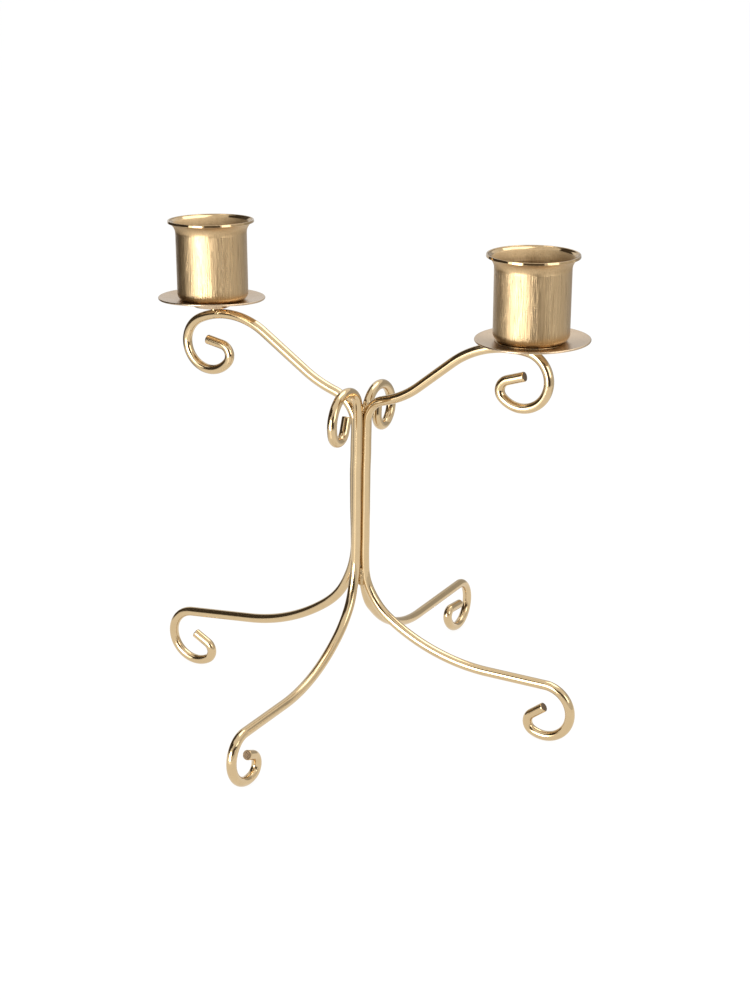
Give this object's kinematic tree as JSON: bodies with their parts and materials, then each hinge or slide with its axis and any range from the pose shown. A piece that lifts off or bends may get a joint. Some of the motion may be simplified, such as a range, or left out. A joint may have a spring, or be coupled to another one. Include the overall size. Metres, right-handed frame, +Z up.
{
  "type": "spiral candle holder",
  "caption": "Scrollwork candle holder bent from round wire, with a straight stem, curled feet, curled arms, drip pans and flared cups for dinner candles.",
  "frame": {"origin": "on the table, straight under the middle of the stem", "axes": "+Z up along the stem; +X towards the right arm, seen from the front; -Y towards the front leg"},
  "size_m": [0.1568, 0.1648, 0.1606],
  "materials": {
    "brass_wire": "satin brass plating on round steel wire",
    "cup_sheet": "satin brass plating, brushed upright",
    "pan_sheet": "satin brass plating",
    "weld_metal": "braze, plated with the rest"
  },
  "bodies": {
    "root": {"left_arm_wire": "brass_wire", "right_arm_wire": "brass_wire", "front_curl_wire": "brass_wire", "back_curl_wire": "brass_wire", "left_drip_pan": "pan_sheet", "right_drip_pan": "pan_sheet", "left_candle_cup": "cup_sheet", "right_candle_cup": "cup_sheet", "left_cup_braze": "weld_metal", "right_cup_braze": "weld_metal", "left_pan_weld": "weld_metal", "right_pan_weld": "weld_metal", "top_stem_weld": "weld_metal", "bottom_stem_weld": "weld_metal"}
  },
  "joints": []
}
